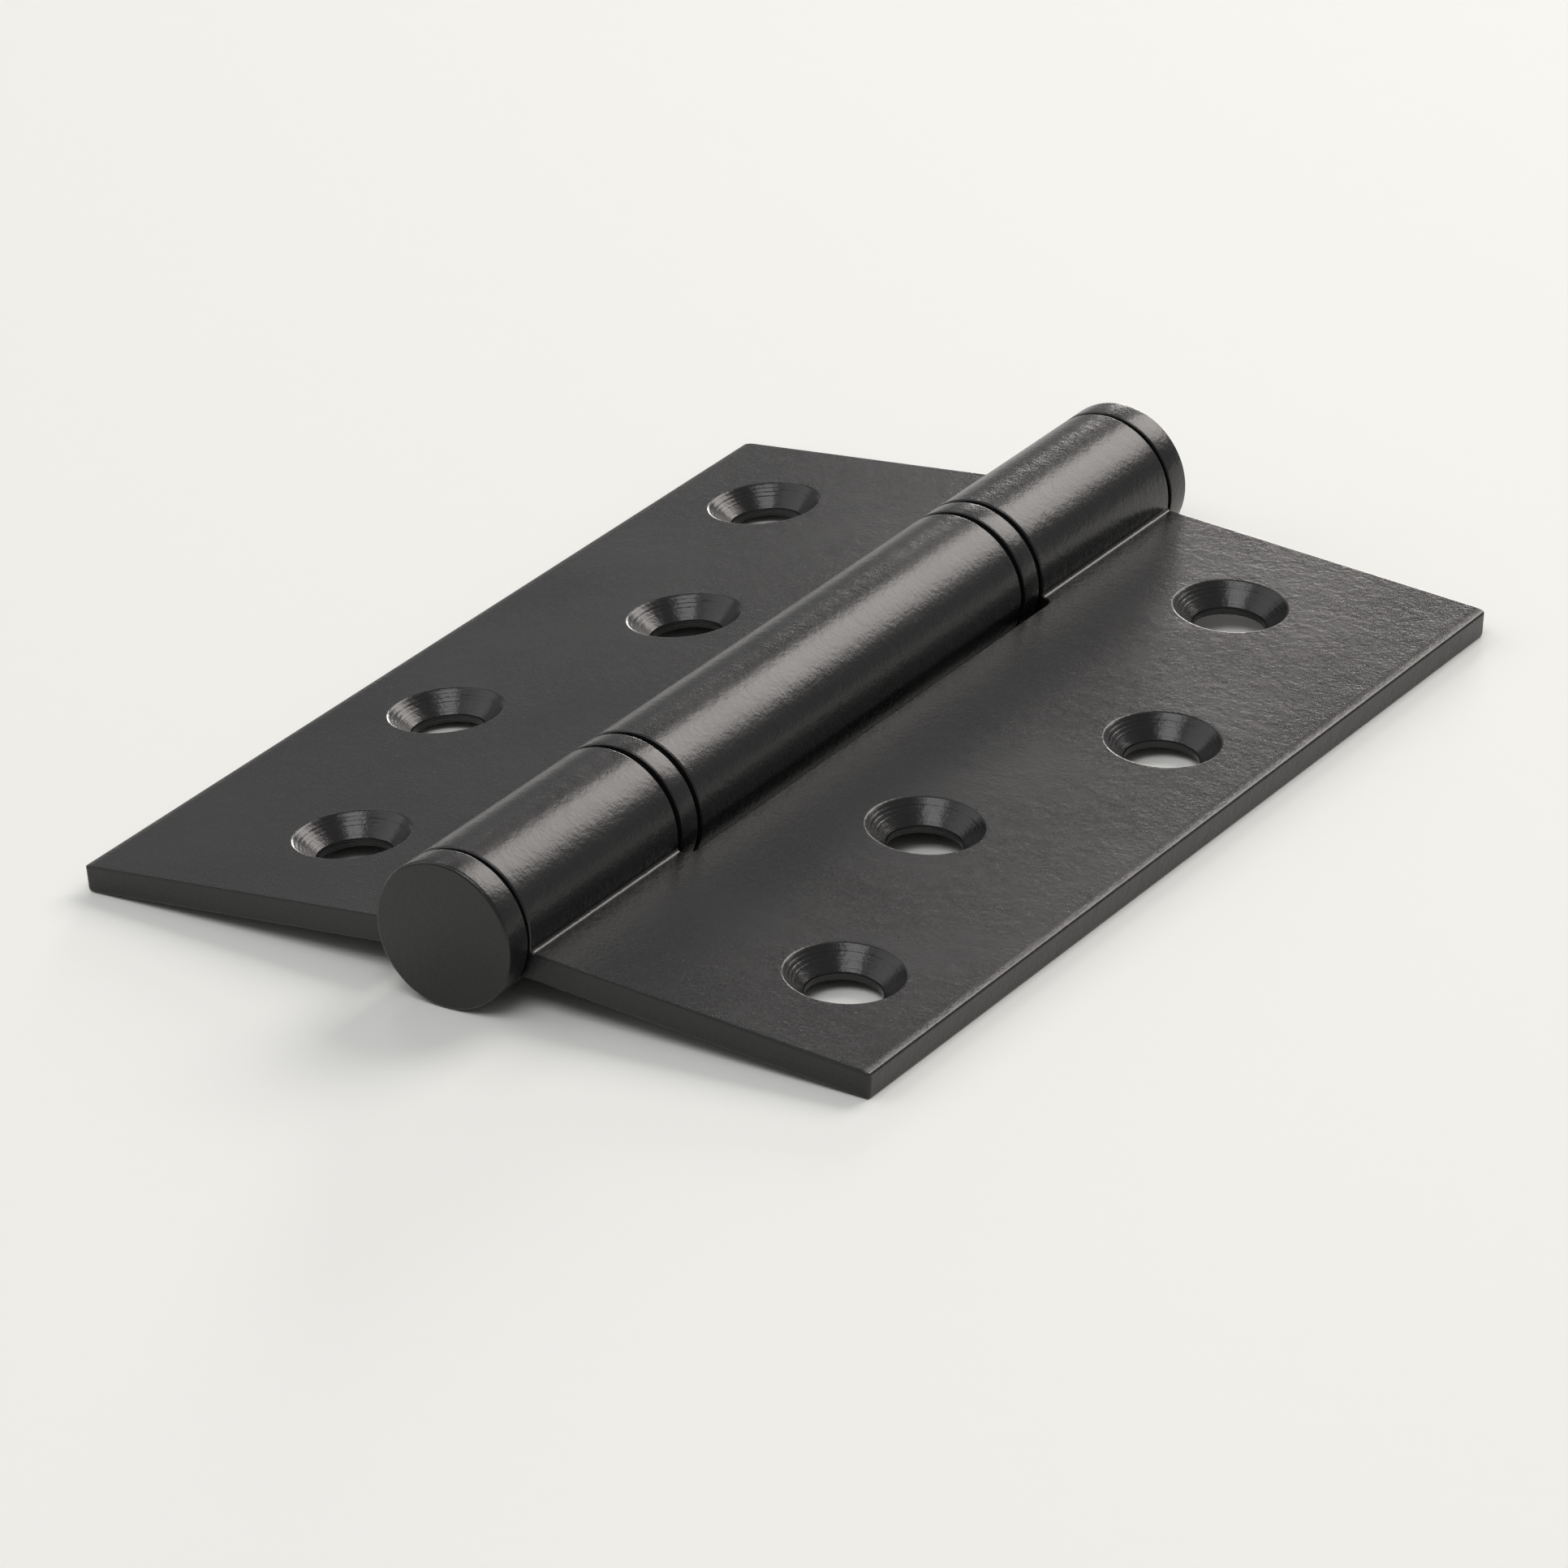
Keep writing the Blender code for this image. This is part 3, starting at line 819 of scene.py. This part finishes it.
class HINGE_OT_centre_leaf(bpy.types.Operator):
    """Make the leaf that carries the centre knuckle"""

    bl_idname = "hinge.centre_leaf"
    bl_label = "Leaf with Centre Knuckle"

    def execute(self, context):
        notches = [notch("near notch", -FAR, -CENTRE_END), notch("far notch", CENTRE_END, FAR)]
        make_leaf(
            context, "centre_leaf", "leaf_centre_knuckle", "centre_knuckle_leaf", CENTRE_LEAF, math.pi,
            notches)
        return {"FINISHED"}


# The pieces round the pin, with their stations for the far end


def other_end(corners, sign):
    """The same outline for either end of the hinge."""
    return [(radius, station * sign, rounding) for radius, station, rounding in corners]


def on_pin(obj, materials, body, nodes):
    """Finishes a piece that was turned in the pin's frame."""
    for material in materials:
        obj.data.materials.append(material)
    smooth(obj)
    return finished(obj, pin_place(), body, nodes)


def cap_corners(shape):
    disc_low = min(station for radius, station in CAP.points if radius > DISC_SHARE * CAP.radius)
    shoulder = CAP.radii_at(disc_low)[0]
    spigot = CAP.radii_at(CAP.low)[-1]
    step = min(station for radius, station in CAP.points if abs(radius - shoulder) < SAME_PLACE)
    return [
        (0.0, CAP.high, 0.0),
        (CAP.radius, CAP.high, shape.cap_edge / MM),
        (CAP.radius, disc_low, COVER_CORNER),
        (shoulder, disc_low, 0.0),
        (shoulder, step, 0.0),
        (spigot, step, 0.0),
        (spigot, CAP.low, SPIGOT_CORNER),
        (0.0, CAP.low, 0.0),
    ]


class HINGE_OT_end_caps(bpy.types.Operator):
    """Make the two caps that close the barrel"""

    bl_idname = "hinge.end_caps"
    bl_label = "End Caps"

    def execute(self, context):
        look = context.scene.hinge_finish
        for end, sign in ENDS.items():
            corners = other_end(cap_corners(context.scene.hinge_shape), sign)
            cap = turned(f"barrel_cap_{end}", corners, BARREL_STEPS)
            for polygon in cap.data.polygons:
                polygon.material_index = int(abs(polygon.normal.z) < END_NORMAL)
            coats = [flat_coat(look), barrel_coat(look)]
            on_pin(cap, coats, "outer_knuckle_leaf", [f"end_cap_{end}"])
        return {"FINISHED"}


class HINGE_OT_bearing_covers(bpy.types.Operator):
    """Make the ring that covers each bearing"""

    bl_idname = "hinge.bearing_covers"
    bl_label = "Bearing Covers"

    def execute(self, context):
        look = context.scene.hinge_finish
        for end, sign in ENDS.items():
            low, high = sorted((COVER.low * sign, COVER.high * sign))
            cover = ring(
                f"cover_ring_{end}", COVER.radius, COVER.bore, low, high, BARREL_STEPS, COVER_CORNER)
            coats = [barrel_coat(look)]
            on_pin(cover, coats, "outer_knuckle_leaf", [f"bearing_cover_{end}"])
        return {"FINISHED"}


class HINGE_OT_pin_and_bushes(bpy.types.Operator):
    """Make the pin and the bushes that turn on it"""

    bl_idname = "hinge.pin_and_bushes"
    bl_label = "Pin and Bushes"

    def execute(self, context):
        look = context.scene.hinge_finish
        corners = [
            (0.0, PIN.low, 0.0), (PIN.radius, PIN.low, PIN_CORNER),
            (PIN.radius, PIN.high, PIN_CORNER), (0.0, PIN.high, 0.0)]
        pin = turned("steel_pin", corners, BARREL_STEPS)
        on_pin(pin, [ground_steel(look)], "outer_knuckle_leaf", ["hinge_pin"])
        for end, sign in ENDS.items():
            low, high = sorted((BUSH.low * sign, BUSH.high * sign))
            bush = ring(
                f"bronze_bush_{end}", BUSH.radius, BUSH.bore, low, high, BEARING_STEPS, BUSH_CORNER)
            on_pin(bush, [sintered_bronze(look)], "centre_knuckle_leaf", [f"bush_{end}"])
        return {"FINISHED"}


def race_corners(race, face, back):
    """A race whose raceway is in the side at face."""
    groove = RACEWAY_RATIO * BALL_RADIUS
    inward = math.copysign(1.0, back - face)
    half = math.sqrt(groove**2 - (groove - RACEWAY_DEPTH) ** 2)
    centre = face - inward * (groove - RACEWAY_DEPTH)
    raceway = []
    for step in range(ARC_STEPS + 1):
        across = half * (2 * step / ARC_STEPS - 1)
        station = centre + inward * math.sqrt(groove**2 - across**2)
        raceway.append((BALL_PITCH_RADIUS + across, station, 0.0))
    return [
        (race.bore, back, RIM_CORNER), (race.bore, face, RIM_CORNER), *raceway,
        (race.radius, face, RIM_CORNER), (race.radius, back, RIM_CORNER)]


class HINGE_OT_bearings(bpy.types.Operator):
    """Make the races, cages and balls of the two thrust bearings"""

    bl_idname = "hinge.bearings"
    bl_label = "Thrust Bearings"

    def execute(self, context):
        look = context.scene.hinge_finish
        pattern = part_ring()
        for end, sign in ENDS.items():
            self.make_races(look, end, sign)
            self.make_cage(look, end, sign, pattern)
            self.make_balls(look, end, sign, pattern)
        return {"FINISHED"}

    def make_races(self, look, end, sign):
        races = {
            "fixed": (FIXED_RACE, FIXED_RACE.low, FIXED_RACE.high, "outer_knuckle_leaf"),
            "swinging": (SWINGING_RACE, SWINGING_RACE.high, SWINGING_RACE.low, "centre_knuckle_leaf"),
        }
        for kind, (race, face, back, body) in races.items():
            corners = race_corners(race, face * sign, back * sign)
            obj = turned(f"{kind}_thrust_race_{end}", corners, BEARING_STEPS)
            materials = [polished_steel(look), barrel_coat(look)]
            for polygon in obj.data.polygons:
                polygon.material_index = int(polygon.center.xy.length > race.radius - RACE_SIDE)
            on_pin(obj, materials, body, [f"{kind}_race_{end}"])

    def make_cage(self, look, end, sign, pattern):
        brass = satin_brass(look)
        half = (CAGE.high - CAGE.low) / 2
        middle = CAGE_MIDDLE * sign
        cage = ring(
            f"brass_cage_{end}", CAGE.radius, CAGE.bore, middle - half, middle + half, BEARING_STEPS)
        pocket_radius = BALL_RADIUS + POCKET_GAP
        corners = [
            (0.0, -OVERCUT, 0.0), (pocket_radius, -OVERCUT, 0.0), (pocket_radius, OVERCUT, 0.0),
            (0.0, OVERCUT, 0.0)]
        pockets = pattern.make(
            "pockets", part=turned("pocket", corners, POCKET_STEPS), count=BALL_COUNT,
            pitch_radius=BALL_PITCH_RADIUS, station=middle, material=brass)
        cut(cage, pockets)
        cage.data.materials.clear()
        on_pin(cage, [brass], f"ball_set_{end}", [f"ball_cage_{end}"])

    def make_balls(self, look, end, sign, pattern):
        steel = polished_steel(look)
        shape = bmesh.new()
        bmesh.ops.create_uvsphere(
            shape, u_segments=BALL_SEGMENTS, v_segments=BALL_RINGS, radius=BALL_RADIUS)
        balls = pattern.make(
            f"steel_balls_{end}", part=new_object("ball", shape), count=BALL_COUNT,
            pitch_radius=BALL_PITCH_RADIUS, station=CAGE_MIDDLE * sign, material=steel)
        nodes = [name for name in frame["nodes"] if name.startswith(f"ball_{end}_")]
        on_pin(balls, [], f"ball_set_{end}", nodes)


# The stage

LIGHT_DISTANCE = 2.5
WARM = (1.0, 0.945, 0.91)


def soft_light(name, heading, height, size, power, tint=(1.0, 1.0, 1.0)):
    """A square light that faces the hinge. heading is from +Y towards +X, and height is above the
    floor, both in degrees."""
    data = bpy.data.lights.new(name, "AREA")
    data.shape = "SQUARE"
    data.size = size
    data.energy = power
    data.color = tint
    light = bpy.data.objects.new(name, data)
    turn = Euler((math.radians(height), 0.0, -math.radians(heading)))
    light.location = turn.to_matrix() @ Vector((0.0, LIGHT_DISTANCE, 0.0))
    light.rotation_euler = light.location.to_track_quat("Z", "Y").to_euler()
    bpy.context.scene.collection.objects.link(light)
    return light


class HINGE_OT_stage(bpy.types.Operator):
    """Make the floor, the lights and the camera"""

    bl_idname = "hinge.stage"
    bl_label = "Floor, Lights and Camera"

    floor_size = 6.0
    camera_place = (0.3717157, -0.5661881, 0.3194347)
    camera_heading = math.radians(33.4285)
    camera_tilt = math.radians(64.6021)
    camera_roll = math.radians(-1.8582)

    def execute(self, context):
        stage = context.scene.hinge_stage
        self.make_floor(stage)
        self.make_lights(context, stage)
        self.make_camera(context, stage)
        context.scene.view_settings.view_transform = "Standard"
        return {"FINISHED"}

    def make_floor(self, stage):
        shape = bmesh.new()
        bmesh.ops.create_grid(shape, x_segments=1, y_segments=1, size=self.floor_size / 2)
        floor = new_object("floor", shape)
        floor.data.materials.append(floor_finish(stage))

    def make_lights(self, context, stage):
        world = bpy.data.worlds.new("room")
        world.use_nodes = True
        background = world.node_tree.nodes["Background"]
        background.inputs["Color"].default_value = (1.0, 1.0, 1.0, 1.0)
        background.inputs["Strength"].default_value = stage.room
        context.scene.world = world
        soft_light("main light", heading=11, height=39, size=1.45, power=stage.main, tint=WARM)
        soft_light("side light", heading=-110, height=40, size=2.2, power=stage.side)
        soft_light("top light", heading=165, height=62, size=1.4, power=stage.top)
        soft_light("low light", heading=-23, height=9, size=0.6, power=stage.low, tint=WARM)
        soft_light("corner light", heading=-45, height=42, size=0.5, power=stage.corner)

    def make_camera(self, context, stage):
        data = bpy.data.cameras.new("camera")
        data.lens = stage.lens
        data.sensor_width = 36.0
        data.clip_start = 0.01
        camera = bpy.data.objects.new("camera", data)
        turn = Matrix.Rotation(self.camera_heading, 4, "Z")
        tilt = Matrix.Rotation(self.camera_tilt, 4, "X")
        roll = Matrix.Rotation(self.camera_roll, 4, "Z")
        camera.matrix_world = Matrix.Translation(self.camera_place) @ turn @ tilt @ roll
        context.scene.collection.objects.link(camera)
        context.scene.camera = camera


class HINGE_PT_panel(bpy.types.Panel):
    """The hinge's sizes, finishes and operators"""

    bl_idname = "HINGE_PT_panel"
    bl_label = "Butt Hinge"
    bl_space_type = "VIEW_3D"
    bl_region_type = "UI"
    bl_category = "Hinge"

    def draw(self, context):
        for operator in OPERATORS:
            self.layout.operator(operator.bl_idname)
        for group in (context.scene.hinge_shape, context.scene.hinge_finish, context.scene.hinge_stage):
            box = self.layout.box()
            for name in type(group).__annotations__:
                box.prop(group, name)


OPERATORS = (
    HINGE_OT_outer_leaf,
    HINGE_OT_centre_leaf,
    HINGE_OT_end_caps,
    HINGE_OT_bearing_covers,
    HINGE_OT_pin_and_bushes,
    HINGE_OT_bearings,
    HINGE_OT_stage,
)
GROUPS = {"hinge_shape": HingeShape, "hinge_finish": HingeFinish, "hinge_stage": HingeStage}


def register():
    for kind in (*GROUPS.values(), *OPERATORS, HINGE_PT_panel):
        bpy.utils.register_class(kind)
    for name, kind in GROUPS.items():
        setattr(bpy.types.Scene, name, PointerProperty(type=kind))


def unregister():
    for name in GROUPS:
        delattr(bpy.types.Scene, name)
    for kind in (HINGE_PT_panel, *reversed(OPERATORS), *GROUPS.values()):
        bpy.utils.unregister_class(kind)


def main():
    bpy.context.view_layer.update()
    register()
    bpy.ops.hinge.outer_leaf()
    bpy.ops.hinge.centre_leaf()
    bpy.ops.hinge.end_caps()
    bpy.ops.hinge.bearing_covers()
    bpy.ops.hinge.pin_and_bushes()
    bpy.ops.hinge.bearings()
    bpy.ops.hinge.stage()
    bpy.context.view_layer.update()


if __name__ == "__main__":
    main()
